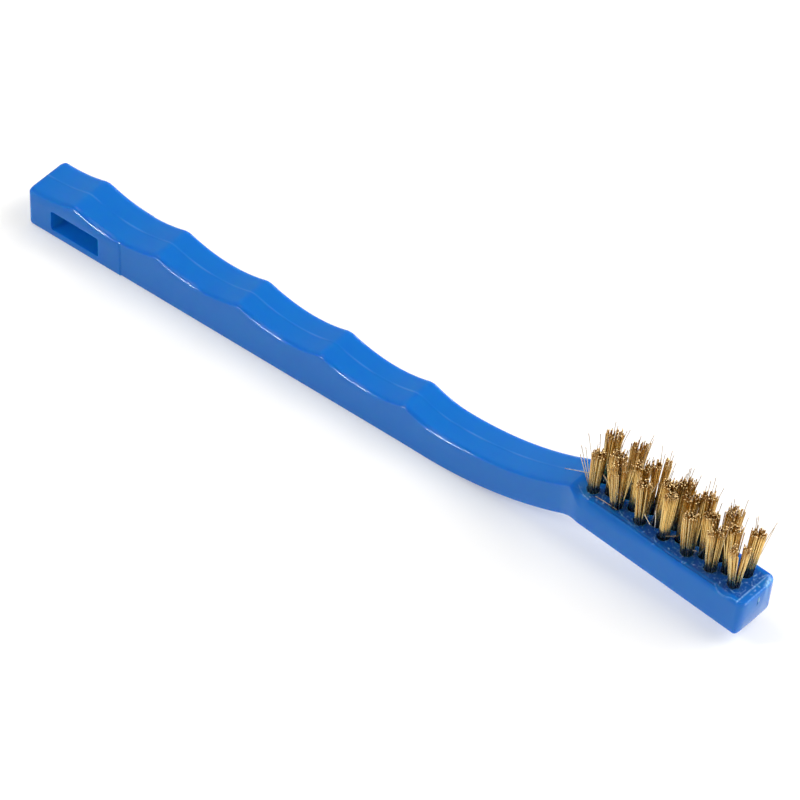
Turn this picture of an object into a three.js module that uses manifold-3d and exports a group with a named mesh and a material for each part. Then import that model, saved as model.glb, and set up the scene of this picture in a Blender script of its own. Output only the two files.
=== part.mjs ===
// Brass wire brush, in millimetres, +Z up.
// A one-piece moulded handle carries three staggered rows of folded wire tufts on its tilted head.
// A flat anchor across the fold of each tuft holds it in its hole.
// The handle lies on its flat underside. +X runs from the hanging end to the tip of the head,
// and the origin is on the ground below the middle of the overall length.
import * as THREE from 'three';
import { mergeVertices } from 'three/addons/utils/BufferGeometryUtils.js';
import Module from 'manifold-3d';

const wasm = await Module();
wasm.setup();

// Grip: finger ridges with round hollows between them, from the hanging end
const TAIL_WIDTH = 10.6;
const GRIP_WIDTH = 9.2;
const FIRST_RIDGE = 12.3;
const RIDGE_PITCH = 21.57;
const RIDGE_COUNT = 5;
const FIRST_RIDGE_HEIGHT = 11.4;
const LAST_RIDGE_HEIGHT = 10.9;
const RIDGE_ROUNDING = 1.8;
const HOLLOW_DEPTH = 2.0;

// Hanging slot through the tail
const SLOT_FROM_END = 5.9;
const SLOT_LENGTH = 12.6;
const SLOT_HEIGHT = 4.9;
const SLOT_FLOOR = 1.8;
const SLOT_CORNER = 0.7;

// Neck: dips behind the last ridge, then curves up to a crest in front of the head
const NECK_WIDTH = 9.3;
const NECK_DIP_LENGTH = 9.4;
const NECK_DIP_HEIGHT = 8.5;
const NECK_RISE_LENGTH = 33.2;
const NECK_RADIUS = 69.5;
const UNDERSIDE_FLAT_PAST_RIDGE = 4.9;
const UNDERSIDE_RADIUS = 90;
const UNDERSIDE_BLEND = 0.6;

// Head: steps down from the crest to a flat face that falls towards the tip
const HEAD_WIDTH = 10.8;
const FLARE_LENGTH = 6;
const FLARE_BEFORE_FACE = 0.5;
const STEP_LENGTH = 2.0;
const STEP_DROP = 1.13;
const FACE_TILT = THREE.MathUtils.degToRad(4.3);
const FLOOR_UNDER_FIRST_HOLE = 1.6;
const FLOOR_UNDER_LAST_HOLE = 3.1;
const TIP_MARGIN = 5.2;
const TIP_LEAN = THREE.MathUtils.degToRad(10.8);
const TIP_CORNER = 1.7;
const TIP_LOWER_CORNER = 0.8;

// Rounding of the long edges and of both ends
const EDGE_RADIUS = 0.55;
const END_RADIUS = 0.8;

// Tuft holes in the face: outer rows side by side, middle row half a pitch along
const OUTER_TUFTS = 7;
const FIRST_TUFT = 1.4;
const TUFT_PITCH = 5.87;
const ROW_PITCH = 1.8;
const HOLE_DIAMETER = 2.7;
const HOLE_DEPTH = 5.0;
const HOLE_POINT = 0.9;

// Tufts: wire strands that leave the packed root and fan out to the trimmed tips
const TUFT_LENGTH = 13.0;
const TRIM_SPREAD = 0.7;
const TIP_DIAMETER = 3.0;
const TIP_ROW_PITCH = 3.2;
const TIP_SPLIT = 0.15;
const TIP_ADVANCE = 0.9;
const STRANDS_PER_TUFT = 20;
const STRAND_DIAMETER = 0.28;
const STRAND_SIDES = 3;
const STRAND_ROOT = 0.6;
const STRAND_MARGIN = 0.1;
const TUFT_CLEARANCE = 0.25;

// Backing slice that joins the roots of one row below the holes
const SLICE_WIDTH = 0.7;
const SLICE_HEIGHT = 0.6;

// Anchors: flat pieces across the fold, turned so that each tuft splits into two halves
const ANCHOR_LENGTH = 3.4;
const ANCHOR_HEIGHT = 1.4;
const ANCHOR_THICKNESS = 0.4;
const ANCHOR_TURN = THREE.MathUtils.degToRad(-45);
const ANCHOR_CLEARANCE = 0.3;
const FOLD_THICKNESS = 1.0;

// Fineness of the faceted curves
const CORNER_STEPS = 2;
const HOLLOW_STEPS = 8;
const NECK_STEPS = 10;
const STEP_STEPS = 3;
const END_STEPS = 3;
const ROUND_SIDES = 10;
const SAME_POINT = 1e-5;
const SAME_STATION = 1e-3;

// Places along the length that follow from the sizes above
const lastRidge = FIRST_RIDGE + (RIDGE_COUNT - 1) * RIDGE_PITCH;
const neckDip = lastRidge + NECK_DIP_LENGTH;
const crest = neckDip + NECK_RISE_LENGTH;
const faceStart = crest + STEP_LENGTH;
const flareStart = faceStart - FLARE_BEFORE_FACE - FLARE_LENGTH / 2;
const flareEnd = flareStart + FLARE_LENGTH;
const faceLength = FIRST_TUFT + (OUTER_TUFTS - 1) * TUFT_PITCH + TIP_MARGIN;
const length = faceStart + faceLength * Math.cos(FACE_TILT);
const neckRise = NECK_RADIUS - Math.sqrt(NECK_RADIUS ** 2 - NECK_RISE_LENGTH ** 2);
const crestHeight = NECK_DIP_HEIGHT + neckRise;
const faceHeight = crestHeight - STEP_DROP;

// Tuft roots are the holes less a clearance, and the anchors lie above the fold
const rootRadius = HOLE_DIAMETER / 2 - TUFT_CLEARANCE;
const rootBottom = -(HOLE_DEPTH + HOLE_POINT - TUFT_CLEARANCE);
const sliceMiddle = rootBottom + SLICE_HEIGHT / 2;
const anchorMiddle = -HOLE_DEPTH + FOLD_THICKNESS + ANCHOR_HEIGHT / 2;

const plastic = new THREE.MeshStandardMaterial({ color: 0x1a6bcb, roughness: 0.3, metalness: 0 });
const brassWire = new THREE.MeshStandardMaterial({ color: 0xc7a45a, roughness: 0.35, metalness: 1 });
const anchorMetal = new THREE.MeshStandardMaterial({ color: 0xb3b5b8, roughness: 0.4, metalness: 1 });

// Turns a closed geometry into a solid: only positions count, and points on an axis leave empty triangles
function solid(geometry) {
  const bare = geometry.clone();
  bare.deleteAttribute('normal');
  bare.deleteAttribute('uv');
  const merged = mergeVertices(bare, SAME_POINT);
  const index = merged.index.array;
  const triangles = [];
  for (let i = 0; i < index.length; i += 3) {
    const [a, b, c] = index.slice(i, i + 3);
    if (a !== b && b !== c && c !== a) {
      triangles.push(a, b, c);
    }
  }
  return new wasm.Manifold(new wasm.Mesh({
    numProp: 3,
    vertProperties: new Float32Array(merged.attributes.position.array),
    triVerts: new Uint32Array(triangles),
  }));
}

function joined(solids) {
  return solids.reduce((whole, next) => whole.add(next));
}

function geometryOf(shape) {
  const { vertProperties, triVerts } = shape.getMesh();
  const geometry = new THREE.BufferGeometry();
  geometry.setAttribute('position', new THREE.BufferAttribute(vertProperties, 3));
  geometry.setIndex(new THREE.BufferAttribute(triVerts, 1));
  geometry.computeVertexNormals();
  return geometry;
}

function named(name, geometry, material) {
  const mesh = new THREE.Mesh(geometry, material.clone());
  mesh.name = name;
  return mesh;
}

// Height of the ridged grip: a circular hollow between each two ridges, under a sloping ridge line
function gripTop(x) {
  const slope = (LAST_RIDGE_HEIGHT - FIRST_RIDGE_HEIGHT) / (lastRidge - FIRST_RIDGE);
  const ridgeLine = FIRST_RIDGE_HEIGHT + slope * (x - FIRST_RIDGE);
  const half = RIDGE_PITCH / 2;
  const radius = (half ** 2 + HOLLOW_DEPTH ** 2) / (2 * HOLLOW_DEPTH);
  const fromMiddle = THREE.MathUtils.euclideanModulo(x - FIRST_RIDGE, RIDGE_PITCH) - half;
  return ridgeLine - HOLLOW_DEPTH + radius - Math.sqrt(radius ** 2 - fromMiddle ** 2);
}

function neckTop(x) {
  const fromDip = x - neckDip;
  if (fromDip < 0) {
    return NECK_DIP_HEIGHT + (LAST_RIDGE_HEIGHT - NECK_DIP_HEIGHT) * (fromDip / NECK_DIP_LENGTH) ** 2;
  }
  return NECK_DIP_HEIGHT + NECK_RADIUS - Math.sqrt(NECK_RADIUS ** 2 - fromDip ** 2);
}

function faceTop(x) {
  return faceHeight - Math.tan(FACE_TILT) * (x - faceStart);
}

function topHeight(x) {
  if (x <= lastRidge) {
    return gripTop(x);
  }
  if (x <= crest) {
    return neckTop(x);
  }
  if (x < faceStart) {
    return crestHeight - STEP_DROP * THREE.MathUtils.smoothstep(x, crest, faceStart);
  }
  return faceTop(x);
}

// The underside is flat below the grip, curves up below the neck, and falls again below the head
function underHeight(x) {
  const bendStart = lastRidge + UNDERSIDE_FLAT_PAST_RIDGE;
  if (x <= bendStart) {
    return 0;
  }
  const bend = UNDERSIDE_RADIUS - Math.sqrt(Math.max(0, UNDERSIDE_RADIUS ** 2 - (x - bendStart) ** 2));
  const alongHead = (x - faceStart) / (length - faceStart);
  const floor = THREE.MathUtils.lerp(FLOOR_UNDER_FIRST_HOLE, FLOOR_UNDER_LAST_HOLE, alongHead);
  const belowHead = faceTop(x) - HOLE_DEPTH - HOLE_POINT - floor;
  const near = Math.max(0, UNDERSIDE_BLEND - Math.abs(bend - belowHead));
  return Math.min(bend, belowHead) - near ** 2 / (4 * UNDERSIDE_BLEND);
}

function halfWidth(x) {
  if (x <= lastRidge) {
    return THREE.MathUtils.lerp(TAIL_WIDTH, GRIP_WIDTH, x / lastRidge) / 2;
  }
  const neck = THREE.MathUtils.lerp(GRIP_WIDTH, NECK_WIDTH, Math.min(1, (x - lastRidge) / NECK_DIP_LENGTH));
  const flare = THREE.MathUtils.smoothstep(x, flareStart, flareEnd);
  return THREE.MathUtils.lerp(neck, HEAD_WIDTH, flare) / 2;
}

// How far a round of the given radius draws a surface in, at a distance from the end that it rounds
function endInset(fromEnd, radius) {
  const short = Math.max(0, radius - fromEnd);
  return radius - Math.sqrt(radius ** 2 - short ** 2);
}

// Sections are taken where the outline bends, closer together on the tighter curves
function handleStations() {
  const marks = [];
  const span = (from, to, steps) => {
    for (let i = 0; i <= steps; i += 1) {
      marks.push(THREE.MathUtils.lerp(from, to, i / steps));
    }
  };
  const round = (end, radius, way) => {
    for (let i = 0; i <= END_STEPS; i += 1) {
      marks.push(end + way * radius * (1 - Math.cos((i / END_STEPS) * (Math.PI / 2))));
    }
  };
  const shoulder = RIDGE_ROUNDING / 2;
  round(0, END_RADIUS, 1);
  span(END_RADIUS, FIRST_RIDGE - shoulder, HOLLOW_STEPS / 2);
  for (let k = 0; k < RIDGE_COUNT - 1; k += 1) {
    const ridge = FIRST_RIDGE + k * RIDGE_PITCH;
    span(ridge + shoulder, ridge + RIDGE_PITCH - shoulder, HOLLOW_STEPS);
  }
  span(lastRidge + shoulder, neckDip, HOLLOW_STEPS / 2);
  span(neckDip, flareStart, NECK_STEPS);
  span(flareStart, crest, STEP_STEPS);
  span(crest, faceStart, STEP_STEPS);
  span(faceStart, flareEnd, STEP_STEPS);
  round(length, TIP_CORNER, -1);
  round(length, END_RADIUS, -1);
  marks.sort((a, b) => a - b);
  return marks.filter((x, i) => i === 0 || x - marks[i - 1] > SAME_STATION);
}

// A square with rounded corners, whose corners are carried to the edges of each section
function cornerSquare(half) {
  const inner = half - EDGE_RADIUS;
  const shape = new THREE.Shape();
  shape.absarc(inner, -inner, EDGE_RADIUS, -Math.PI / 2, 0);
  shape.absarc(inner, inner, EDGE_RADIUS, 0, Math.PI / 2);
  shape.absarc(-inner, inner, EDGE_RADIUS, Math.PI / 2, Math.PI);
  shape.absarc(-inner, -inner, EDGE_RADIUS, Math.PI, 1.5 * Math.PI);
  return shape;
}

// The bare moulding: a rounded section drawn along the length, fitted to the outline at every station
function handleBlank() {
  const stations = handleStations();
  const steps = stations.length - 1;
  const half = 2 * EDGE_RADIUS;
  const geometry = new THREE.ExtrudeGeometry(cornerSquare(half), {
    depth: steps,
    steps,
    bevelEnabled: false,
    curveSegments: CORNER_STEPS,
  });
  const points = geometry.attributes.position;
  for (let i = 0; i < points.count; i += 1) {
    const x = stations[Math.round(points.getZ(i))];
    const fromTip = length - x;
    const endDraw = endInset(x, END_RADIUS) + endInset(fromTip, END_RADIUS);
    const top = topHeight(x) - endDraw;
    const under = underHeight(x) + endDraw;
    const across = points.getX(i);
    const up = points.getY(i);
    const tipDraw = endInset(fromTip, up > 0 ? TIP_CORNER : TIP_LOWER_CORNER);
    const side = halfWidth(x) - endInset(x, END_RADIUS) - tipDraw;
    const y = Math.sign(across) * (side - half + Math.abs(across));
    const z = up > 0 ? top - half + up : under + half + up;
    const alongHead = THREE.MathUtils.clamp((x - faceStart) / (length - faceStart), 0, 1);
    const lean = Math.tan(TIP_LEAN) * (top - z) * alongHead;
    points.setXYZ(i, x - lean, y, z);
  }
  return solid(geometry);
}

function hangingSlot() {
  const low = SLOT_FLOOR + SLOT_CORNER;
  const high = SLOT_FLOOR + SLOT_HEIGHT - SLOT_CORNER;
  const near = SLOT_FROM_END + SLOT_CORNER;
  const far = SLOT_FROM_END + SLOT_LENGTH - SLOT_CORNER;
  const shape = new THREE.Shape();
  shape.absarc(far, low, SLOT_CORNER, -Math.PI / 2, 0);
  shape.absarc(far, high, SLOT_CORNER, 0, Math.PI / 2);
  shape.absarc(near, high, SLOT_CORNER, Math.PI / 2, Math.PI);
  shape.absarc(near, low, SLOT_CORNER, Math.PI, 1.5 * Math.PI);
  const depth = 2 * TAIL_WIDTH;
  const geometry = new THREE.ExtrudeGeometry(shape, {
    depth,
    bevelEnabled: false,
    curveSegments: CORNER_STEPS,
  });
  geometry.rotateX(Math.PI / 2);
  geometry.translate(0, depth / 2, 0);
  return solid(geometry);
}

// The three rows, in the frame of the head: X along the face, Z square out of it
const rows = [
  { name: 'right', side: -1, tufts: OUTER_TUFTS, first: FIRST_TUFT },
  { name: 'middle', side: 0, tufts: OUTER_TUFTS - 1, first: FIRST_TUFT + TUFT_PITCH / 2 },
  { name: 'left', side: 1, tufts: OUTER_TUFTS, first: FIRST_TUFT },
].map((row) => ({
  ...row,
  places: Array.from({ length: row.tufts }, (_, k) => new THREE.Vector3(
    row.first + k * TUFT_PITCH,
    row.side * ROW_PITCH,
    0,
  )),
}));

// A drilled shape: a round wall from the given height down to a blunt point
function drilled(place, radius, top, clearance) {
  const profile = [
    new THREE.Vector2(0, -(HOLE_DEPTH + HOLE_POINT - clearance)),
    new THREE.Vector2(SLICE_WIDTH / 2, -(HOLE_DEPTH + HOLE_POINT - clearance)),
    new THREE.Vector2(radius, -(HOLE_DEPTH - clearance)),
    new THREE.Vector2(radius, top),
    new THREE.Vector2(0, top),
  ];
  const geometry = new THREE.LatheGeometry(profile, ROUND_SIDES);
  geometry.rotateX(Math.PI / 2);
  geometry.translate(place.x, place.y, 0);
  return geometry;
}

// A block across a tuft's fold, as large as the anchor plus the clearance on every side
function anchorBlock(place, blockLength, clearance) {
  const geometry = new THREE.BoxGeometry(
    blockLength + 2 * clearance,
    ANCHOR_THICKNESS + 2 * clearance,
    ANCHOR_HEIGHT + 2 * clearance,
  );
  geometry.rotateZ(ANCHOR_TURN);
  geometry.translate(place.x, place.y, anchorMiddle);
  return geometry;
}

function backingSlice(row, clearance) {
  const start = row.places[0];
  const end = row.places[row.tufts - 1];
  const geometry = new THREE.BoxGeometry(
    end.x - start.x + 2 * clearance,
    SLICE_WIDTH + 2 * clearance,
    SLICE_HEIGHT + 2 * clearance,
  );
  geometry.translate((start.x + end.x) / 2, start.y, sliceMiddle);
  return geometry;
}

// One wire of a tuft, from inside the root to its trimmed tip
function strand(from, to) {
  const along = new THREE.Vector3().subVectors(to, from);
  const radius = STRAND_DIAMETER / 2;
  const geometry = new THREE.CylinderGeometry(radius, radius, along.length(), STRAND_SIDES);
  const middle = new THREE.Vector3().addVectors(from, to).multiplyScalar(0.5);
  geometry.applyQuaternion(new THREE.Quaternion().setFromUnitVectors(
    new THREE.Vector3(0, 1, 0),
    along.normalize(),
  ));
  geometry.translate(middle.x, middle.y, middle.z);
  return geometry;
}

// Strands start on a sunflower pattern and fan out in step with their place in it, so none cross
function tuftStrands(place, side) {
  const goldenTurn = Math.PI * (3 - Math.sqrt(5));
  const patternRadius = rootRadius - STRAND_DIAMETER / 2 - STRAND_MARGIN;
  const fan = TIP_DIAMETER / 2 / patternRadius;
  const splitWay = new THREE.Vector2(-Math.sin(ANCHOR_TURN), Math.cos(ANCHOR_TURN));
  const leanOut = side * (TIP_ROW_PITCH - ROW_PITCH);
  const strands = [];
  for (let i = 0; i < STRANDS_PER_TUFT; i += 1) {
    const radius = patternRadius * Math.sqrt((i + 0.5) / STRANDS_PER_TUFT);
    const x = radius * Math.cos(i * goldenTurn);
    const y = radius * Math.sin(i * goldenTurn);
    const split = TIP_SPLIT * Math.sign(x * splitWay.x + y * splitWay.y);
    const trim = TRIM_SPREAD * THREE.MathUtils.euclideanModulo(i * (goldenTurn / Math.PI), 1);
    const from = new THREE.Vector3(place.x + x, place.y + y, -STRAND_ROOT);
    const to = new THREE.Vector3(
      place.x + x * fan + split * splitWay.x + TIP_ADVANCE,
      place.y + y * fan + split * splitWay.y + leanOut,
      TUFT_LENGTH - trim,
    );
    strands.push(strand(from, to));
  }
  return strands;
}

const head = new THREE.Group();
head.position.set(faceStart, 0, faceHeight);
head.rotation.y = FACE_TILT;
head.updateMatrix();

// Moulded handle with its slot, the tuft holes and the room for anchors and backing slices
function handle() {
  const holeTop = STEP_DROP + EDGE_RADIUS;
  const cuts = [];
  for (const row of rows) {
    cuts.push(backingSlice(row, TUFT_CLEARANCE));
    for (const place of row.places) {
      cuts.push(drilled(place, HOLE_DIAMETER / 2, holeTop, 0));
      cuts.push(anchorBlock(place, ANCHOR_LENGTH, ANCHOR_CLEARANCE));
    }
  }
  const headCuts = joined(cuts.map((cut) => solid(cut.applyMatrix4(head.matrix))));
  return handleBlank().subtract(hangingSlot()).subtract(headCuts);
}

// One row of tufts: packed roots with an eye for each anchor, fused along their backing slice
function tuftRow(row) {
  const roots = row.places.map((place) => solid(drilled(place, rootRadius, 0, TUFT_CLEARANCE)));
  const eyes = row.places.map((place) => solid(anchorBlock(place, HOLE_DIAMETER, ANCHOR_CLEARANCE)));
  const strands = row.places.flatMap((place) => tuftStrands(place, row.side).map(solid));
  const backing = joined([solid(backingSlice(row, 0)), ...roots]).subtract(joined(eyes));
  return joined([backing, ...strands]);
}

const brush = new THREE.Group();
brush.position.x = -length / 2;
brush.add(named('handle', geometryOf(handle()), plastic));
brush.add(head);
for (const row of rows) {
  head.add(named(`${row.name}_tuft_row`, geometryOf(tuftRow(row)), brassWire));
  row.places.forEach((place, k) => {
    const anchor = named(
      `${row.name}_anchor_${k + 1}`,
      new THREE.BoxGeometry(ANCHOR_LENGTH, ANCHOR_THICKNESS, ANCHOR_HEIGHT),
      anchorMetal,
    );
    anchor.position.set(place.x, place.y, anchorMiddle);
    anchor.rotation.z = ANCHOR_TURN;
    head.add(anchor);
  });
}

export default brush;
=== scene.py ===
"""Brass wire brush: a glossy blue moulded handle with tufts of brass wire in its tilted head.

The handle lies on its flat underside. X runs from the hanging end to the tip of the head, Z is up.
"""

import math
import random

import bmesh
import bpy
from mathutils import Matrix, Vector, noise


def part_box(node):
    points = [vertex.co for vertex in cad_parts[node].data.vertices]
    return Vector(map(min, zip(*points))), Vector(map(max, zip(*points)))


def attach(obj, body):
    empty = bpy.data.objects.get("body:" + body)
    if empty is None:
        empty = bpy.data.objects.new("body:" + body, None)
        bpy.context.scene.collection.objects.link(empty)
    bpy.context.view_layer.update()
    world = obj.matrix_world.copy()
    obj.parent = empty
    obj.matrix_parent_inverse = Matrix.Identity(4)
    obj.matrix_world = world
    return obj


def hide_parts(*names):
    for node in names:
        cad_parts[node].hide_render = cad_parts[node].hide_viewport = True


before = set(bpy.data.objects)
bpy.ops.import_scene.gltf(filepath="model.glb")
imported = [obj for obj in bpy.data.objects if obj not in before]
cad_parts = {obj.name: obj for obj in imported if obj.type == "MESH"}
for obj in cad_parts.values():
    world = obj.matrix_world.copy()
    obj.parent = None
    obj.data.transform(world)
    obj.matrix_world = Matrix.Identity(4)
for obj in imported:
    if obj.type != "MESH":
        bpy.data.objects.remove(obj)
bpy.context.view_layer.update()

MM = 0.001
SAME_PLACE = 0.01 * MM
SMOOTH_ANGLE = math.radians(40)

# Grip, from the hanging end
TAIL_WIDTH = 10.6 * MM
GRIP_WIDTH = 9.2 * MM
FIRST_RIDGE = 12.3 * MM
RIDGE_PITCH = 21.57 * MM
RIDGE_COUNT = 5
FIRST_RIDGE_HEIGHT = 11.4 * MM
LAST_RIDGE_HEIGHT = 10.9 * MM
RIDGE_ROUNDING = 1.15 * MM
HOLLOW_DEPTH = 2.0 * MM

# Hanging slot, and the block of the mould that leaves the tail slightly proud
SLOT_FROM_END = 6.14 * MM
SLOT_LENGTH = 12.6 * MM
SLOT_HEIGHT = 4.9 * MM
SLOT_FLOOR = 1.8 * MM
SLOT_CORNER = 0.4 * MM
SLOT_RIM = 0.1 * MM
TAIL_BLOCK = 24.65 * MM
TAIL_BLOCK_PROUD = 0.2 * MM
TAIL_BLOCK_EDGE = 0.35 * MM
TAIL_BLOCK_TICK = 0.7 * MM

# Neck and head
NECK_WIDTH = 9.3 * MM
NECK_DIP_LENGTH = 9.4 * MM
NECK_DIP_HEIGHT = 8.5 * MM
NECK_RISE_LENGTH = 33.2 * MM
NECK_RADIUS = 69.5 * MM
UNDERSIDE_FLAT_PAST_RIDGE = 4.9 * MM
UNDERSIDE_RADIUS = 90 * MM
UNDERSIDE_BLEND = 0.6 * MM
HEAD_WIDTH = 10.8 * MM
FLARE_LENGTH = 5.6 * MM
FLARE_BEFORE_FACE = 2.0 * MM
STEP_LENGTH = 2.0 * MM
STEP_DROP = 1.13 * MM
STEP_LEAD = 0.4 * MM
STEP_RUN_OUT = 1.2 * MM
FACE_TILT = math.radians(4.3)
HEAD_THICKNESS_AT_NECK = 7.5 * MM
HEAD_THICKNESS_AT_TIP = 9.0 * MM
TIP_LEAN = math.radians(10.8)
TIP_CORNER = 1.7 * MM
TIP_LOWER_CORNER = 0.8 * MM
TIP_CROWN = 0.12 * MM

# Edges of the handle; on the head they have a lip near the neck and a bite on one side near the tip
TOP_EDGE_WIDTH = 1.2 * MM
TOP_EDGE_DROP = 0.55 * MM
TOP_EDGE_TURN = math.radians(90)
HEAD_EDGE_WIDTH = 1.0 * MM
HEAD_EDGE_DROP = 3.0 * MM
TIP_EDGE_WIDTH = 0.4 * MM
TIP_EDGE_DROP = 1.2 * MM
HEAD_EDGE_TURN = math.radians(36)
HEAD_EDGE_BEGINS = 1.0 * MM
HEAD_EDGE_NARROWS = (8 * MM, 24 * MM)
LIP_AT = 1.9 * MM
LIP_LENGTH = 1.1 * MM
LIP_WIDTH = 0.45 * MM
BITE_AT = 36.6 * MM
BITE_LENGTH = 1.5 * MM
BITE_WIDTH = 0.38 * MM
BITE_DEPTH = 0.5 * MM
BITE_ACROSS = (4.1 * MM, 5.2 * MM)
EDGE_RADIUS = 0.5 * MM
TAIL_END_RADIUS = 1.0 * MM
TIP_END_RADIUS = 0.35 * MM

# Scar of the gate, with a painted highlight on its upper half, and the line where the halves of the mould
# met
GATE_BELOW_TOP = 2.9 * MM
GATE_SIZE = Vector((0.22, 0.2, 1.5)) * MM
GATE_SEGMENTS = 20
GATE_RINGS = 16
GATE_RAGGED = 0.35
GATE_LUMPS = 2
GATE_PAINTED_GLINT = 0.9
GATE_GLINT_FADE = (-0.1, 0.2)
PARTING_LINE = 0.03 * MM
PARTING_WIDTH = 0.2 * MM
PARTING_WHITENESS = 0.12
PARTING_PATCHES = 6 * MM
PARTING_BREAKS = (-0.4, 0.5)

# Marks on the face round the tufts, in mm: places along and across it, width, height and whiteness; sunken
# lines get painted shade, and some whiteness at the tip is a painted highlight
LINES = (
    (((-0.95, -3.5), (0.95, -4.3)), 0.11, 0.06, 0.3),
    (((0.95, -4.3), (2.4, -4.55)), 0.12, 0.09, 0.95),
    (((3.6, -4.05), (13.0, -3.98), (19.6, -4.4), (23.0, -4.6), (34.0, -4.6)), 0.13, -0.09, 0.0),
    (((3.6, 4.05), (13.0, 3.98), (19.6, 4.4), (23.0, 4.6), (34.0, 4.6)), 0.13, -0.09, 0.0),
    (((8.3, -2.5), (9.85, -3.24), (11.4, -3.35), (12.75, -3.86), (14.0, -3.25)), 0.11, 0.06, 0.4),
    (((17.9, -3.2), (18.37, -3.67), (19.0, -3.96)), 0.11, 0.06, 0.5),
    (((34.0, -4.3), (34.7, -4.9), (35.6, -5.2), (36.6, -5.25), (37.6, -5.2), (38.5, -5.0), (40.03, -4.9)),
     0.12, 0.05, 0.35),
    (((40.05, -5.0), (40.04, -1.0), (40.1, 0.4)), 0.13, 0.08, 0.75),
    (((40.1, 0.4), (40.14, 1.5), (40.11, 4.45)), 0.14, 0.08, 0.6),
    (((36.6, -3.3), (38.1, -3.7), (39.3, -2.7), (39.4, -1.6)), 0.12, 0.05, 0.3),
    # The next two marks have no height: the pale line along the tip's end edge is partly flash and partly a
    # painted highlight, and the pale patch at its far corner is a painted highlight
    (((41.6, -4.2), (41.6, 0.0), (41.55, 1.6)), 0.12, 0.0, 0.5),
    (((41.5, 2.0), (41.2, 4.2)), 0.34, 0.0, 1.0),
    (((39.4, 2.5), (39.85, 4.5)), 0.11, 0.05, 0.5),
    (((40.5, 4.5), (41.15, 2.7)), 0.26, 0.06, 0.75),
    (((38.38, 3.0), (38.36, 2.2)), 0.13, 0.06, 0.85),
)
BURRS = (
    (2.3, -3.85), (3.7, -3.55), (5.2, -3.3), (10.8, -2.75), (12.0, -2.6), (13.7, 0.0), (13.9, 1.3),
    (15.6, -3.6), (18.96, -4.7), (21.9, -3.6), (25.9, -4.46), (26.5, -4.26), (28.0, -3.5), (33.1, -3.4),
    (34.6, -3.5), (35.0, -2.3), (38.3, 0.0), (39.6, 0.2), (38.8, 1.6), (40.8, -0.4), (40.9, -1.7),
    (40.7, 0.9), (8.0, 3.5), (20.3, 3.4), (31.6, 3.6),
)
MARK_REACH = 1.0 * MM
LINE_FAINTEST = 0.35
LINE_BREAKS = (0.25, 0.6)
BURR_REACH = 1.5 * MM
BURR_LENGTH = 0.26 * MM
BURR_WIDTH = 0.13 * MM
BURR_HEIGHT = 0.12 * MM
BURR_BEND = 3 * BURR_LENGTH
BURR_WHITENESS = (0.4, 0.9)
RIM_HEIGHT = 0.1 * MM
RIM_WIDTH = 0.18 * MM
RIM_BREAKS = (0.35, 0.75)
RIM_WHITENESS = 0.4
RAGGED_SIZE = 0.4 * MM

# How one burr differs from the next in direction, bend and whiteness
BURR_TURN = 2.4
BURR_CURL = 5
BURR_PALENESS = 3.7

# Part of the face round the tufts with scratches, ripples and painted shade
SCUFFED_SHADED_START = (1.2 * MM, 3.0 * MM)
SCUFFED_SHADED_END = (39.7 * MM, 40.2 * MM)
SCUFFED_SHADED_INSET = 0.7 * MM
SCUFFED_SHADED_RAGGED = 0.3 * MM
SCUFFED_SHADED_FADE = 0.5 * MM
SCRATCH_WHITENESS = 0.24
SCRATCH_SIZE = 0.9 * MM
SCRATCH_STRETCH = 1.8
SCRATCH_WIDTH = 0.14
SCRATCH_BREAKS = (0.45, 0.65)
RIPPLE_HEIGHT = 0.035 * MM
RIPPLE_SIZE = 1.0 * MM
FACE_MARKS_BEGIN = -1.2 * MM
FACE_MARKS_DEPTH = -1.0 * MM
FACE_MARKS_FADE = (-0.8 * MM, -0.3 * MM)

# Tuft holes and wires
HOLE_DIAMETER = 2.7 * MM
HOLE_DEPTH = 3.0 * MM
FACE_ABOVE_ANCHORS = 3.3 * MM
TUFT_LENGTH = 12.8 * MM
ROOT_DIAMETER = 2.25 * MM
ROOT_DEPTH = 2.0 * MM
TIP_DIAMETER = 2.9 * MM
TIP_SPLIT = 0.2 * MM
SPLIT_DIAGONAL = 0.7
TIP_SCATTER = 0.1 * MM
WAYWARD_SHARE = 0.07
WAYWARD_SCATTER = 4
TRIM_SPREAD = 1.0 * MM
TRIM_CROWN = 0.2 * MM
WIRE_DIAMETER = 0.22 * MM
WIRES_PER_TUFT = 78
THINS_WITH_SPREAD = 1.5
SCATTERS_WITH_SPREAD = 3
GOLDEN_ANGLE = math.pi * (3 - math.sqrt(5))
ROOT_JITTER = 0.15
WIRE_SIDES = 6
WIRE_BENDS = 3
WIRE_BOW = 0.07 * MM
CUT_END = 0.999
CUT_SLANT = 0.7
WIRE_SEED = 7
LOOSE_DIAMETER = 0.16 * MM
HAIR_DIAMETER = 0.13 * MM
NARROW_ROOT = 0.86
NARROW_ROOTS = {"right": (0, 3)}

# How far each tuft's tip leans along and across the face, in mm, and how loose the tuft is
LEANS = {
    "right": ((1.35, -1.25), (0.9, -1.2), (1.0, -1.2), (1.0, 0.0), (1.0, -1.3), (1.3, -1.1), (1.7, -1.7)),
    "middle": ((1.6, -0.6), (0.9, 0.5), (1.7, 0.5), (1.1, 0.8), (1.0, -0.3), (0.4, 0.0)),
    "left": ((0.3, 1.3), (0.1, 2.2), (0.3, 1.7), (1.0, 1.3), (0.3, 1.4), (0.7, 1.8), (1.6, 0.6)),
}
SPREADS = {
    "right": (0.85, 1.55, 0.95, 0.9, 1.0, 1.15, 1.2),
    "middle": (1.1, 1.1, 1.0, 1.1, 1.0, 1.1),
    "left": (1.1, 1.1, 1.15, 1.1, 1.05, 1.1, 1.0),
}
SPLITS = {
    "right": (0.9, 1.5, 1.2, 0.6, 0.8, 1.5, 2.9),
    "middle": (0.6, 1.0, 0.8, 1.2, 0.8, 1.0),
    "left": (1.0, 1.2, 1.6, 1.2, 1.0, 1.0, 0.8),
}

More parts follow.
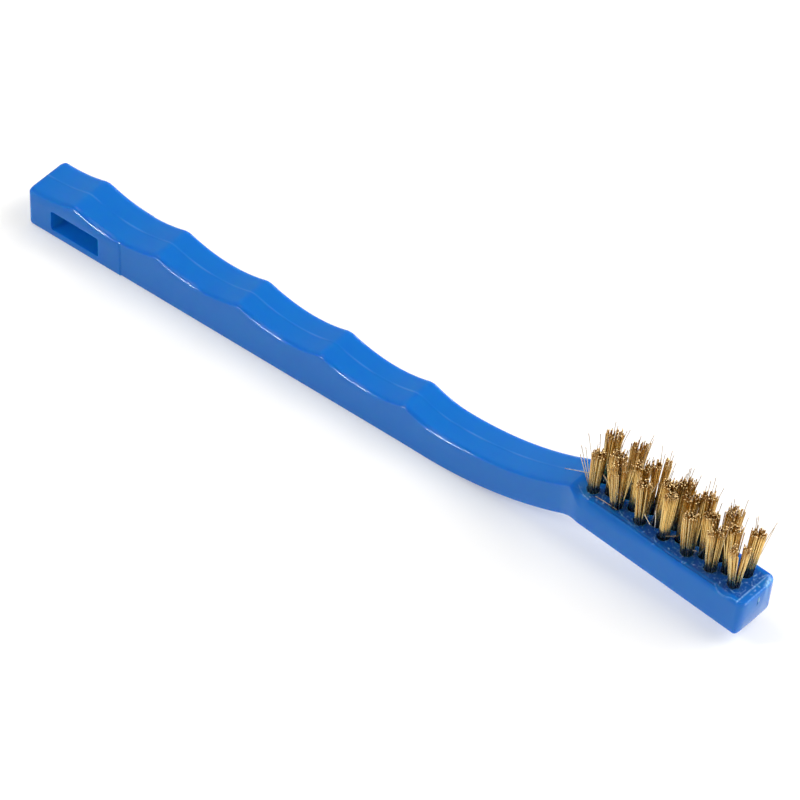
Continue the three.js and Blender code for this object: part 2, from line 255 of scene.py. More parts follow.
# Loose wires round the tufts: root, tip and the rise of the middle, in mm on the face
STRAY_WIRES = (
    ((-0.6, 0.4, 1.1), (-5.5, -2.2, 1.0), 0.0),
    ((3.1, -3.2, 0.35), (8.4, -3.2, 0.6), 0.05),
    ((0.85, -2.45, 0.4), (-1.5, -3.3, 9.0), 0.0),
    ((0.9, -2.2, 0.0), (-1.9, -2.6, 10.6), 0.0),
    ((0.8, -1.9, 0.0), (-1.4, -1.8, 9.8), 0.0),
    ((1.0, -1.4, 3.0), (-1.35, -1.4, 13.5), 0.0),
    ((1.2, -0.4, 4.0), (0.1, 0.5, 13.0), 0.0),
    ((8.6, -3.9, 5.8), (5.0, -4.0, 8.5), -0.15),
    ((15.9, -2.2, 1.2), (14.4, -2.5, 3.5), 0.0),
    ((15.9, -1.8, 0.6), (16.7, -1.6, 7.4), 0.0),
    ((14.4, -1.2, 0.6), (14.5, -0.6, 5.9), 0.0),
    ((17.4, -2.5, 0.8), (17.1, -2.5, 6.7), 0.0),
    ((20.0, -2.5, 1.3), (22.0, -0.5, 1.2), 0.0),
    ((13.5, -0.9, 0.1), (13.1, 0.6, 4.0), 0.1),
    ((27.4, -1.4, 0.6), (29.4, -1.8, 5.2), 0.0),
    ((7.6, -1.5, 1.0), (9.8, -0.6, 7.4), 0.1),
    ((25.4, -2.4, 1.8), (27.0, -1.6, 1.6), 0.0),
)

# Fine hairs for each tuft, by row, and where they begin and end round it, in mm
HAIRS = (("left", 5), ("middle", 2), ("right", 1))
HAIR_ROOT_ALONG = (-1, 1)
HAIR_ROOT_ACROSS = (-0.8, 0.8)
HAIR_TIP_ALONG = (-1.2, 3.0)
HAIR_TIP_ACROSS = (-0.8, 1.8)
HAIR_ABOVE_TUFT = (0.6, 4.0)
HAIR_BOW = 0.2 * MM

# Span of the values that a noise pattern mostly keeps to
NOISE_LOW = 0.3
NOISE_HIGH = 0.7

# Blue plastic
PLASTIC_BLUES = ((0.003, 0.144, 0.506, 1), (0.004, 0.155, 0.527, 1))
SHADED_FACE_BLUE = (0.003, 0.082, 0.37, 1)
PALE_MARK_AND_HIGHLIGHT_BLUE = (0.32, 0.59, 0.90, 1)
CLOUD_SCALE = 90
CLOUD_DETAIL = 3
STREAK_SCALE = 500
STREAK_DETAIL = 4
STREAK_STRETCH = (0.12, 1, 1)
PLASTIC_ROUGHNESS = (0.10, 0.16)
PLASTIC_IOR = 1.48
PLASTIC_SPECULAR = 0.23
GLOW_THROUGH = 0.8
GLOW_COLOURS = (0.1, 0.4, 1.0)
GLOW_DEPTH = 2.5 * MM
PEBBLE_SCALE = 700
PEBBLE_DETAIL = 2
PEBBLE_STRENGTH = 0.12
PEBBLE_HEIGHT = 0.03 * MM

# Brass wire and anchor strip; places along a wire run from 0 at its root to 1 at its cut end
WIRE_BRASSES = ((0.86, 0.56, 0.16, 1), (0.97, 0.72, 0.30, 1))
LOOSE_BRASSES = ((0.62, 0.52, 0.36, 1), (0.95, 0.88, 0.72, 1))
# Painted shade darkens each wire over its root and towards its tip
ROOT_SHADE_BRASS = (0.25, 0.22, 0.16, 1)
TIP_SHADE_BRASS = (0.40, 0.20, 0.06, 1)
CUT_BRASS = (0.78, 0.56, 0.27, 1)
ROOT_SHADE_TOPS = (0.25, 0.30)
ROOT_SHADE_FADES = 0.335
TIP_SHADE_AMOUNT = 0.6
TIP_SHADE_ALONG = (0.9, 0.995)
CUT_ALONG = (0.996, 1.0)
DRAW_MARK_SCALE = 3000
DRAW_MARK_DETAIL = 2
DRAW_MARK_STRETCH = (1, 1, 0.1)
WIRE_ROUGHNESS = (0.2, 0.34)
CUT_ROUGHNESS = 0.45
ANCHOR_STEELS = ((0.42, 0.42, 0.43, 1), (0.58, 0.58, 0.58, 1))
ANCHOR_GRAIN_SCALE = 2500
ANCHOR_GRAIN_DETAIL = 3
ANCHOR_GRAIN_STRETCH = (0.1, 1, 1)
ANCHOR_ROUGHNESS = (0.3, 0.5)

# Pale floor that the brush lies on
FLOOR_SIZE = 3.0
FLOOR_GAP = 0.03 * MM
FLOOR_COLOUR = (0.82, 0.81, 0.785, 1)
FLOOR_ROUGHNESS = 0.9
FLOOR_SPECULAR = 0.1
FLOOR_GLOW = 0.2

# Lights: name, direction, distance, size and power; the strip lights the gloss of the handle's edges alone
EDGE_STRIP = ("edge_strip", (-0.38, -0.77, 0.51), 0.41, (0.135, 0.062), 4.4)
STRIP_COLOUR = (0.8, 1.0, 0.95)
SOFTBOXES = (
    ("front_softbox", (-0.38, -0.58, 0.72), 1.2, (0.17, 0.34), 3.2),
    ("front_fill", (-0.25, -0.75, 0.6), 1.3, (1.5, 1.3), 1.5),
    ("back_softbox", (0.60, 0.36, 0.71), 1.2, (0.8, 0.8), 8.2),
    ("low_back_fill", (0.25, 0.95, 0.27), 1.3, (1.4, 0.4), 10.0),
    ("overhead_softbox", (-0.33, 0.03, 0.94), 1.0, (0.4, 0.4), 1.3),
)

# Greys of the backdrop, from the horizon to overhead
BACKDROP_HORIZON = 0.3
BACKDROP_BANDS = ((0.15, 0.36), (0.38, 0.58), (0.52, 0.56), (0.72, 0.42))
BACKDROP_OVERHEAD = 0.34

# Camera, fitted to the handle's edges in the photograph
CAMERA_TURN = math.radians(40.72)
CAMERA_HEIGHT = math.radians(44.53)
CAMERA_DISTANCE = 1.9
CAMERA_LENS = 435.0
CAMERA_SENSOR = 36.0
CAMERA_REACH = 10.0
CAMERA_AIM = Vector((-0.44, 0.0, 5.0)) * MM
CAMERA_ASIDE = -1.339 * MM
CAMERA_ABOVE = 0.194 * MM

# Places along the length, in the frame
tail_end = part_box("handle")[0].x
tip_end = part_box("handle")[1].x
first_ridge = tail_end + FIRST_RIDGE
last_ridge = first_ridge + (RIDGE_COUNT - 1) * RIDGE_PITCH
neck_dip = last_ridge + NECK_DIP_LENGTH
crest = neck_dip + NECK_RISE_LENGTH
face_start = crest + STEP_LENGTH
flare_start = face_start - FLARE_BEFORE_FACE - FLARE_LENGTH / 2
flare_end = flare_start + FLARE_LENGTH
crest_height = NECK_DIP_HEIGHT + NECK_RADIUS - math.sqrt(NECK_RADIUS ** 2 - NECK_RISE_LENGTH ** 2)
face_height = crest_height - STEP_DROP

face_origin = Vector((face_start, 0, face_height))
face_along = Vector((math.cos(FACE_TILT), 0, -math.sin(FACE_TILT)))
face_across = Vector((0, 1, 0))
face_out = Vector((math.sin(FACE_TILT), 0, math.cos(FACE_TILT)))


def tuft_places():
    """The middle of each hole's mouth, by row: straight out of the face from the anchor in the hole."""
    rows = {}
    for name in sorted(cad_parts):
        if "_anchor_" in name:
            low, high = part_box(name)
            row = name.split("_")[0]
            rows.setdefault(row, []).append((low + high) / 2 + face_out * FACE_ABOVE_ANCHORS)
    return rows


TUFTS = tuft_places()


def on_face(along, across, out=0.0):
    return face_origin + face_along * along + face_across * across + face_out * out


def smooth(x, low, high):
    t = min(1.0, max(0.0, (x - low) / (high - low)))
    return t * t * (3 - 2 * t)


def mix(a, b, t):
    return a + (b - a) * t


def bell(distance, width):
    return math.exp(-(distance / width) ** 2)


# Outline of the handle
def hollow(x):
    """Height of the grip before its ridges are rounded."""
    along = (x - first_ridge) / (last_ridge - first_ridge)
    ridge_line = mix(FIRST_RIDGE_HEIGHT, LAST_RIDGE_HEIGHT, along)
    half = RIDGE_PITCH / 2
    radius = (half ** 2 + HOLLOW_DEPTH ** 2) / (2 * HOLLOW_DEPTH)
    from_middle = (x - first_ridge) % RIDGE_PITCH - half
    return ridge_line - HOLLOW_DEPTH + radius - math.sqrt(radius ** 2 - from_middle ** 2)


def neck(x):
    from_dip = x - neck_dip
    if from_dip < 0:
        return NECK_DIP_HEIGHT + (LAST_RIDGE_HEIGHT - NECK_DIP_HEIGHT) * (from_dip / NECK_DIP_LENGTH) ** 2
    rise = min(from_dip, NECK_RISE_LENGTH)
    return NECK_DIP_HEIGHT + NECK_RADIUS - math.sqrt(NECK_RADIUS ** 2 - rise ** 2)


def sharp_top(x):
    return hollow(x) if x <= last_ridge else neck(x)


def face_top(x):
    return face_height - math.tan(FACE_TILT) * (x - face_start)


def top_height(x):
    if x > crest - STEP_LEAD:
        return mix(neck(x), face_top(x), smooth(x, crest - STEP_LEAD, face_start + STEP_RUN_OUT))
    for k in range(RIDGE_COUNT):
        ridge = first_ridge + k * RIDGE_PITCH
        if abs(x - ridge) < RIDGE_ROUNDING:
            before = sharp_top(ridge - RIDGE_ROUNDING)
            after = sharp_top(ridge + RIDGE_ROUNDING)
            slope = (sharp_top(ridge - RIDGE_ROUNDING / 2) - before) / (RIDGE_ROUNDING / 2)
            t = (x - ridge) / RIDGE_ROUNDING
            return mix(before, after, (t + 1) / 2) + slope * RIDGE_ROUNDING / 2 * (1 - t * t)
    return sharp_top(x)


def under_height(x):
    bend_start = last_ridge + UNDERSIDE_FLAT_PAST_RIDGE
    if x <= bend_start:
        return 0.0
    bend = UNDERSIDE_RADIUS - math.sqrt(UNDERSIDE_RADIUS ** 2 - (x - bend_start) ** 2)
    along = (x - face_start) / (tip_end - face_start)
    below_head = face_top(x) - mix(HEAD_THICKNESS_AT_NECK, HEAD_THICKNESS_AT_TIP, along)
    near = max(0.0, UNDERSIDE_BLEND - abs(bend - below_head))
    return min(bend, below_head) - near ** 2 / (4 * UNDERSIDE_BLEND)


def half_width(x, tick=0.0):
    from_tail = x - tail_end
    if x <= last_ridge:
        grip = mix(TAIL_WIDTH, GRIP_WIDTH, from_tail / (last_ridge - tail_end)) / 2
        block_end = TAIL_BLOCK - TAIL_BLOCK_TICK * tick
        proud = TAIL_BLOCK_PROUD * (1 - tick) ** 2
        return grip + proud * (1 - smooth(from_tail, block_end - TAIL_BLOCK_EDGE, block_end))
    neck_width = mix(GRIP_WIDTH, NECK_WIDTH, min(1.0, (x - last_ridge) / NECK_DIP_LENGTH))
    flare = smooth(x, flare_start, flare_end)
    return mix(neck_width, HEAD_WIDTH, flare) / 2


def end_inset(from_end, radius):
    short = max(0.0, radius - from_end)
    return radius - math.sqrt(radius ** 2 - short ** 2)


# Finished pieces
def piece(name, bm, material):
    mesh = bpy.data.meshes.new(name)
    bm.to_mesh(mesh)
    bm.free()
    obj = bpy.data.objects.new(name, mesh)
    bpy.context.scene.collection.objects.link(obj)
    mesh.materials.append(material)
    for polygon in mesh.polygons:
        polygon.use_smooth = True
    mesh.set_sharp_from_angle(angle=SMOOTH_ANGLE)
    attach(obj, "root")
    return obj


# Materials
def shader(name):
    material = bpy.data.materials.new(name)
    material.use_nodes = True
    nodes = material.node_tree.nodes
    return material, nodes, material.node_tree.links, nodes["Principled BSDF"]


def noise_at(nodes, links, scale, detail, stretch=(1, 1, 1)):
    place = nodes.new("ShaderNodeTexCoord")
    mapping = nodes.new("ShaderNodeMapping")
    mapping.inputs["Scale"].default_value = stretch
    texture = nodes.new("ShaderNodeTexNoise")
    texture.inputs["Scale"].default_value = scale
    texture.inputs["Detail"].default_value = detail
    links.new(place.outputs["Object"], mapping.inputs["Vector"])
    links.new(mapping.outputs["Vector"], texture.inputs["Vector"])
    return texture.outputs["Fac"]


def ranged(nodes, links, value, low, high, from_low=NOISE_LOW, from_high=NOISE_HIGH):
    node = nodes.new("ShaderNodeMapRange")
    node.inputs["From Min"].default_value = from_low
    node.inputs["From Max"].default_value = from_high
    node.inputs["To Min"].default_value = low
    node.inputs["To Max"].default_value = high
    links.new(value, node.inputs["Value"])
    return node.outputs["Result"]


def attribute(nodes, name):
    node = nodes.new("ShaderNodeAttribute")
    node.attribute_name = name
    return node.outputs["Fac"]


def blend(nodes, links, amount, first, second):
    """Mixes two colours; each is a colour or another node's output."""
    node = nodes.new("ShaderNodeMix")
    node.data_type = "RGBA"
    links.new(amount, node.inputs["Factor"])
    for socket, colour in (("A", first), ("B", second)):
        target = [s for s in node.inputs if s.name == socket and s.type == "RGBA"][0]
        if isinstance(colour, tuple):
            target.default_value = colour
        else:
            links.new(colour, target)
    return [s for s in node.outputs if s.type == "RGBA"][0]


def blue_plastic():
    material, nodes, links, bsdf = shader("blue_moulded_plastic")
    cloud = noise_at(nodes, links, CLOUD_SCALE, CLOUD_DETAIL)
    body = blend(nodes, links, cloud, *PLASTIC_BLUES)
    # Painted shade: the face round the tufts and its grooves are darkened
    shaded_body = blend(nodes, links, attribute(nodes, "scuffed_and_shaded"), body, SHADED_FACE_BLUE)
    # Pale scratches, burrs and lines, with painted highlights along the tip's end edge, at its far corner
    # and on the gate scar
    pale_marks = blend(nodes, links, attribute(nodes, "wear_and_highlight"), shaded_body, PALE_MARK_AND_HIGHLIGHT_BLUE)
    links.new(pale_marks, bsdf.inputs["Base Color"])
    streaks = noise_at(nodes, links, STREAK_SCALE, STREAK_DETAIL, STREAK_STRETCH)
    links.new(ranged(nodes, links, streaks, *PLASTIC_ROUGHNESS), bsdf.inputs["Roughness"])
    bsdf.inputs["IOR"].default_value = PLASTIC_IOR
    bsdf.inputs["Specular IOR Level"].default_value = PLASTIC_SPECULAR
    bsdf.inputs["Subsurface Weight"].default_value = GLOW_THROUGH
    bsdf.inputs["Subsurface Radius"].default_value = GLOW_COLOURS
    bsdf.inputs["Subsurface Scale"].default_value = GLOW_DEPTH
    bump = nodes.new("ShaderNodeBump")
    bump.inputs["Strength"].default_value = PEBBLE_STRENGTH
    bump.inputs["Distance"].default_value = PEBBLE_HEIGHT
    links.new(noise_at(nodes, links, PEBBLE_SCALE, PEBBLE_DETAIL), bump.inputs["Height"])
    links.new(bump.outputs["Normal"], bsdf.inputs["Normal"])
    return material


def brass(name, darker, lighter):
    """Drawn wire: darkened by painted shade in the hole and just above it, browner with painted shade near
    the tip, and bright at the cut.
    """
    material, nodes, links, bsdf = shader(name)
    shade = attribute(nodes, "wire_shade")
    along = attribute(nodes, "along_wire")
    drawn = blend(nodes, links, shade, darker, lighter)
    # Painted shade over the root of each wire
    root_shade_top = ranged(nodes, links, shade, *ROOT_SHADE_TOPS, 0.0, 1.0)
    root_shade = ranged(nodes, links, along, 1.0, 0.0, 0.0, ROOT_SHADE_FADES)
    links.new(root_shade_top, root_shade.node.inputs["From Min"])
    root_shaded = blend(nodes, links, root_shade, drawn, ROOT_SHADE_BRASS)
    # Painted shade darkening each wire towards its tip
    tip_shade = ranged(nodes, links, along, 0.0, TIP_SHADE_AMOUNT, *TIP_SHADE_ALONG)
    tip_shaded = blend(nodes, links, tip_shade, root_shaded, TIP_SHADE_BRASS)
    cut_end = ranged(nodes, links, along, 0.0, 1.0, *CUT_ALONG)
    links.new(blend(nodes, links, cut_end, tip_shaded, CUT_BRASS), bsdf.inputs["Base Color"])
    bsdf.inputs["Metallic"].default_value = 1.0
    draw_marks = noise_at(nodes, links, DRAW_MARK_SCALE, DRAW_MARK_DETAIL, DRAW_MARK_STRETCH)
    drawn_gloss = ranged(nodes, links, draw_marks, *WIRE_ROUGHNESS)
    cut_gloss = ranged(nodes, links, cut_end, 0.0, CUT_ROUGHNESS, 0.0, 1.0)
    links.new(drawn_gloss, cut_gloss.node.inputs["To Min"])
    links.new(cut_gloss, bsdf.inputs["Roughness"])
    return material


def anchor_steel():
    material, nodes, links, bsdf = shader("rolled_anchor_strip")
    grain = noise_at(nodes, links, ANCHOR_GRAIN_SCALE, ANCHOR_GRAIN_DETAIL, ANCHOR_GRAIN_STRETCH)
    links.new(blend(nodes, links, grain, *ANCHOR_STEELS), bsdf.inputs["Base Color"])
    bsdf.inputs["Metallic"].default_value = 1.0
    links.new(ranged(nodes, links, grain, *ANCHOR_ROUGHNESS), bsdf.inputs["Roughness"])
    return material


# Handle, and how finely its mesh is divided
CORNER_POINTS = 16
LOWER_CORNER_POINTS = 6
TOP_POINTS = 72
UNDERSIDE_POINTS = 10
SIDE_LEVELS = (
    SLOT_FLOOR,
    SLOT_FLOOR + SLOT_HEIGHT / 3,
    SLOT_FLOOR + SLOT_HEIGHT * 2 / 3,
    SLOT_FLOOR + SLOT_HEIGHT,
)
SIDE_LEVELS_FADE = 15 * MM
SIDE_FACING = 0.8
BOTTOM_EDGE = (EDGE_RADIUS, EDGE_RADIUS, math.radians(90))
FACE_STEP = 0.14 * MM
GRIP_STEP = 0.5 * MM
SLOT_STEP = 1.05 * MM
TICK_STEP = 0.06 * MM
ROUNDING_STEPS = 11
SLOT_CORNER_STEPS = 4
SLOT_RIM_STEPS = 3
HOLE_CLEARED = 1.02
HOLE_NEARBY = 1.6


def handle_section():
    """Points round the section: on one of its four edge rounds, from side to flat, or between two."""
    rounds = [k / (CORNER_POINTS - 1) for k in range(CORNER_POINTS)]
    lower_rounds = [k / (LOWER_CORNER_POINTS - 1) for k in range(LOWER_CORNER_POINTS)]
    levels = range(len(SIDE_LEVELS))
    points = [("corner", 1, -1, share) for share in reversed(lower_rounds)]
    points += [("side", 1, k, 0) for k in levels]
    points += [("corner", 1, 1, share) for share in rounds]
    points += [("flat", 1 - 2 * k / TOP_POINTS, 1, 1) for k in range(1, TOP_POINTS)]
    points += [("corner", -1, 1, share) for share in reversed(rounds)]
    points += [("side", -1, k, 0) for k in reversed(levels)]
    points += [("corner", -1, -1, share) for share in lower_rounds]
    points += [("flat", -1 + 2 * k / UNDERSIDE_POINTS, -1, 0) for k in range(1, UNDERSIDE_POINTS)]
    return points


def top_edge(x, across):
    """Width, drop and turn of the round between side and top; on the head it stops short, at a crease."""
    along = x - face_start
    on_head = smooth(x, crest, face_start + HEAD_EDGE_BEGINS)
    narrowed = smooth(along, *HEAD_EDGE_NARROWS)
    head_width = mix(HEAD_EDGE_WIDTH, TIP_EDGE_WIDTH, narrowed)
    head_width -= LIP_WIDTH * bell(along - LIP_AT, LIP_LENGTH)
    if across < 0:
        head_width -= BITE_WIDTH * bell(along - BITE_AT, BITE_LENGTH)
    width = mix(TOP_EDGE_WIDTH, head_width, on_head)
    drop = mix(TOP_EDGE_DROP, mix(HEAD_EDGE_DROP, TIP_EDGE_DROP, narrowed), on_head)
    return width, drop, mix(TOP_EDGE_TURN, HEAD_EDGE_TURN, on_head)


def side_height(x, level, under, top):
    """Side points keep to the slot's floor and roof at the tail, and spread evenly further along."""
    even = mix(under, top, (level + 1) / (len(SIDE_LEVELS) + 1))
    past_block = x - tail_end - TAIL_BLOCK
    return mix(SIDE_LEVELS[level], even, smooth(past_block, 0, SIDE_LEVELS_FADE))


def section_place(point, x):
    """Where a point of the section lies at a station along the handle."""
    kind, across, level, share = point
    end_draw = end_inset(x - tail_end, TAIL_END_RADIUS) + end_inset(tip_end - x, TIP_END_RADIUS)
    tick = math.sin(share * math.pi / 2) if level > 0 and kind != "side" else 0.0
    height = (level + 1) / (len(SIDE_LEVELS) + 1) if kind == "side" else (level + 1) / 2
    tip_corner = mix(TIP_LOWER_CORNER, TIP_CORNER, height)
    side = half_width(x, tick) - end_draw - end_inset(tip_end - x, tip_corner)
    top = top_height(x) - end_draw
    under = under_height(x) + end_draw
    edge_width, edge_drop, edge_turn = top_edge(x, across) if level > 0 or kind == "side" else BOTTOM_EDGE
    if kind == "corner":
        inset = edge_width * (1 - math.cos(edge_turn * share)) / (1 - math.cos(edge_turn))
        drop = edge_drop * (1 - math.sin(edge_turn * share) / math.sin(edge_turn))
        y = across * (side - inset)
        z = top - drop if level > 0 else under + drop
    elif kind == "side":
        y = across * side
        z = side_height(x, level, under + EDGE_RADIUS, top - edge_drop)
    else:
        y = across * (side - edge_width)
        z = top if level > 0 else under
        if level > 0:
            z += PARTING_LINE * bell(y, PARTING_WIDTH) * (1 - smooth(x, crest, face_start))
    along = min(1.0, max(0.0, (x - face_start) / (tip_end - face_start)))
    crown = TIP_CROWN * (y / (HEAD_WIDTH / 2)) ** 2 * smooth(x, tip_end - 2 * TIP_CORNER, tip_end)
    return Vector((x - math.tan(TIP_LEAN) * (top - z) * along - crown, y, z))


def handle_stations():
    marks = []

    def span(start, end, step):
        count = max(1, round((end - start) / step))
        marks.extend(mix(start, end, k / count) for k in range(count + 1))

    def rounding(end, radius, way):
        turns = [k * math.pi / (2 * ROUNDING_STEPS) for k in range(ROUNDING_STEPS + 1)]
        marks.extend(end + way * radius * (1 - math.cos(turn)) for turn in turns)

    slot_start = tail_end + SLOT_FROM_END
    block_end = tail_end + TAIL_BLOCK
    tick_start = block_end - TAIL_BLOCK_TICK - TAIL_BLOCK_EDGE
    rounding(tail_end, TAIL_END_RADIUS, 1)
    span(tail_end + TAIL_END_RADIUS, slot_start, SLOT_STEP)
    span(slot_start, slot_start + SLOT_LENGTH, SLOT_STEP)
    span(slot_start + SLOT_LENGTH, tick_start, SLOT_STEP)
    span(tick_start, block_end, TICK_STEP)
    span(block_end, flare_start, GRIP_STEP)
    span(flare_start, tip_end - TIP_CORNER, FACE_STEP)
    rounding(tip_end, TIP_CORNER, -1)
    marks.sort()
    kept = [marks[0]]
    for x in marks[1:]:
        if x - kept[-1] > SAME_PLACE:
            kept.append(x)
    return kept


def close_end(bm, ring, edges):
    """Closes an end with strips from its lower half to its upper half."""
    middle = sum(v.co.z for v in ring) / len(ring)
    halves = [e for e in edges if (e.verts[0].co.z > middle) == (e.verts[1].co.z > middle)]
    bmesh.ops.bridge_loops(bm, edges=halves)


def draw_section(bm, section, stations):
    """Extrudes the closed section from station to station, and closes both ends."""
    mark = bm.verts.layers.int.new("section_point")
    ring = bmesh.ops.create_circle(bm, segments=len(section), radius=MM)["verts"]
    for number, vert in enumerate(ring):
        vert[mark] = number
        vert.co = section_place(section[number], stations[0])
    edges = list(bm.edges)
    first_ring, first_edges = list(ring), list(edges)
    for x in stations[1:]:
        grown = bmesh.ops.extrude_edge_only(bm, edges=edges)["geom"]
        ring = {g for g in grown if isinstance(g, bmesh.types.BMVert)}
        for vert in ring:
            vert.co = section_place(section[vert[mark]], x)
        edges = [g for g in grown if isinstance(g, bmesh.types.BMEdge) and set(g.verts) <= ring]
    close_end(bm, first_ring, first_edges)
    close_end(bm, list(ring), edges)
    bmesh.ops.recalc_face_normals(bm, faces=bm.faces)


def cut_slot(bm):
    """Opens the hanging slot through both sides and rounds its corners and rims."""
    start = tail_end + SLOT_FROM_END
    end = start + SLOT_LENGTH
    opened = []
    for face in bm.faces:
        middle = face.calc_center_median()
        in_length = start < middle.x < end
        in_height = SLOT_FLOOR < middle.z < SLOT_FLOOR + SLOT_HEIGHT
        if in_length and in_height and abs(face.normal.y) > SIDE_FACING:
            opened.append(face)
    bmesh.ops.delete(bm, geom=opened, context="FACES")
    rims = [e for e in bm.edges if e.is_boundary]
    walls = bmesh.ops.bridge_loops(bm, edges=rims)["faces"]
    corners = []
    for edge in {e for f in walls for e in f.edges}:
        a, b = (v.co for v in edge.verts)
        at_end = min(abs(a.x - start), abs(a.x - end)) < SAME_PLACE
        at_level = min(abs(a.z - SLOT_FLOOR), abs(a.z - SLOT_FLOOR - SLOT_HEIGHT)) < SAME_PLACE
        if at_end and at_level and abs(a.y - b.y) > MM:
            corners.append(edge)
    rounded = bmesh.ops.bevel(bm, geom=corners, offset=SLOT_CORNER, offset_type="OFFSET",
                              segments=SLOT_CORNER_STEPS, profile=0.5, affect="EDGES", material=-1)
    walls = {f for f in walls if f.is_valid} | set(rounded["faces"])
    rims = [e for f in walls for e in f.edges if len(e.link_faces) == 2 and not set(e.link_faces) <= walls]
    bmesh.ops.bevel(bm, geom=rims, offset=SLOT_RIM, offset_type="OFFSET",
                    segments=SLOT_RIM_STEPS, profile=0.5, affect="EDGES", material=-1)
    bmesh.ops.recalc_face_normals(bm, faces=bm.faces)


def from_line(along, across, points):
    """Distance of a place on the face from a bent line."""
    place = Vector((along, across))
    reaches = []
    for start, end in zip(points, points[1:]):
        a, b = Vector(start) * MM, Vector(end) * MM
        t = min(1.0, max(0.0, (place - a).dot(b - a) / (b - a).length_squared))
        reaches.append((place - a.lerp(b, t)).length)
    return min(reaches)


def line_marks(along, across, ragged):
    """Height and whiteness of the lips and grooves that drilling and trimming left, and the painted shade
    in the sunken grooves.
    """
    height, white, painted_shade = 0.0, 0.0, 0.0
    for points, width, rise, pale in LINES:
        reach = from_line(along, across, points)
        if reach < MARK_REACH:
            mark = bell(reach, width * MM)
            height += rise * MM * mark
            white += pale * mark * mix(LINE_FAINTEST, 1.0, smooth(ragged, *LINE_BREAKS))
            if rise < 0:
                # Painted shade in a sunken groove
                painted_shade += mark
    return height, white, painted_shade


def burr_marks(along, across):
    """Height and whiteness of the slivers left on the face, each lying its own way."""
    height, white = 0.0, 0.0
    for number, (burr_along, burr_across) in enumerate(BURRS):
        offset = Vector((along - burr_along * MM, across - burr_across * MM))
        if offset.length < BURR_REACH:
            angle = BURR_TURN * number
            lengthwise = offset.x * math.cos(angle) + offset.y * math.sin(angle)
            sidewise = offset.y * math.cos(angle) - offset.x * math.sin(angle)
            curl = sidewise - lengthwise ** 2 / BURR_BEND * math.cos(BURR_CURL * number)
            mark = bell(lengthwise, BURR_LENGTH) * bell(curl, BURR_WIDTH)
            height += BURR_HEIGHT * mark
            white += mix(*BURR_WHITENESS, 0.5 + 0.5 * math.sin(BURR_PALENESS * number)) * mark
    return height, white


def hole_marks(along, across, ragged, holes):
    """Height and whiteness of the ragged rims round the holes."""
    height, white = 0.0, 0.0
    for hole_along, hole_across in holes:
        reach = math.hypot(along - hole_along, across - hole_across) - HOLE_DIAMETER / 2
        if reach < MARK_REACH:
            rim = bell(reach, RIM_WIDTH) * smooth(ragged, *RIM_BREAKS)
            height += RIM_HEIGHT * rim
            white += RIM_WHITENESS * rim
    return height, white


def scuffed_and_shaded(along, across):
    """How far a place lies within the part of the face round the tufts that carries scratches, ripples and
    painted shade.
    """
    inner_edge = HEAD_WIDTH / 2 - top_edge(face_start + along, across)[0]
    ragged = SCUFFED_SHADED_RAGGED * noise.noise(Vector((along, across, 0)) / RIPPLE_SIZE)
    within = smooth(inner_edge - SCUFFED_SHADED_INSET - abs(across) + ragged, 0.0, SCUFFED_SHADED_FADE)
    return within * smooth(along, *SCUFFED_SHADED_START) * (1 - smooth(along, *SCUFFED_SHADED_END))


def face_marks_and_shade(along, across, holes):
    """Height of everything left on the face at a place, how pale it is (partly painted highlight), and how
    much painted shade it gets.
    """
    scuff_and_shade = scuffed_and_shaded(along, across)
    ragged = 0.5 + 0.5 * noise.noise(Vector((along, across, 0)) / RAGGED_SIZE)
    ripple = scuff_and_shade * RIPPLE_HEIGHT * noise.noise(Vector((along, across, 0)) / RIPPLE_SIZE)
    bite = BITE_DEPTH * bell(along - BITE_AT, BITE_LENGTH) * smooth(-across, *BITE_ACROSS)
    web = noise.noise(Vector((along / SCRATCH_STRETCH, across, SCRATCH_SIZE)) / SCRATCH_SIZE)
    scratches = SCRATCH_WHITENESS * scuff_and_shade * bell(web, SCRATCH_WIDTH) * smooth(ragged, *SCRATCH_BREAKS)
    line_height, line_white, line_shade = line_marks(along, across, ragged)
    burr_height, burr_white = burr_marks(along, across)
    rim_height, rim_white = hole_marks(along, across, ragged, holes)
    height = ripple - bite + (line_height + burr_height + rim_height)
    white = scratches + (line_white + burr_white + rim_white)
    return height, min(1.0, white), min(1.0, scuff_and_shade + line_shade)


def whiten_parting_line(bm, section):
    """Marks the pale line that the two halves of the mould leave along the top of the grip and the neck."""
    mark = bm.verts.layers.int["section_point"]
    wear_and_highlight = bm.verts.layers.float.new("wear_and_highlight")
    for vert in bm.verts:
        kind, _, level, _ = section[vert[mark]]
        if kind == "flat" and level > 0 and vert.co.x < crest:
            patch = smooth(noise.noise(Vector((vert.co.x, 0, 0)) / PARTING_PATCHES), *PARTING_BREAKS)
            vert[wear_and_highlight] = PARTING_WHITENESS * patch * bell(vert.co.y, PARTING_WIDTH)


def mark_and_shade_face(bm, holes):
    """Lifts the face's grid by its burrs and lips, and marks the pale places, some of them painted
    highlight, and the painted shade.
    """
    wear_and_highlight = bm.verts.layers.float["wear_and_highlight"]
    face_shade = bm.verts.layers.float.new("scuffed_and_shaded")
    for vert in bm.verts:
        offset = vert.co - face_origin
        along, across, out = offset.dot(face_along), offset.y, offset.dot(face_out)
        if along > FACE_MARKS_BEGIN and out > FACE_MARKS_DEPTH:
            height, white, painted_shade = face_marks_and_shade(along, across, holes)
            keep = smooth(out, *FACE_MARKS_FADE)
            vert.co += face_out * height * keep
            vert[wear_and_highlight] = white * keep
            # Painted shade of the tufts and in the grooves
            vert[face_shade] = painted_shade * keep


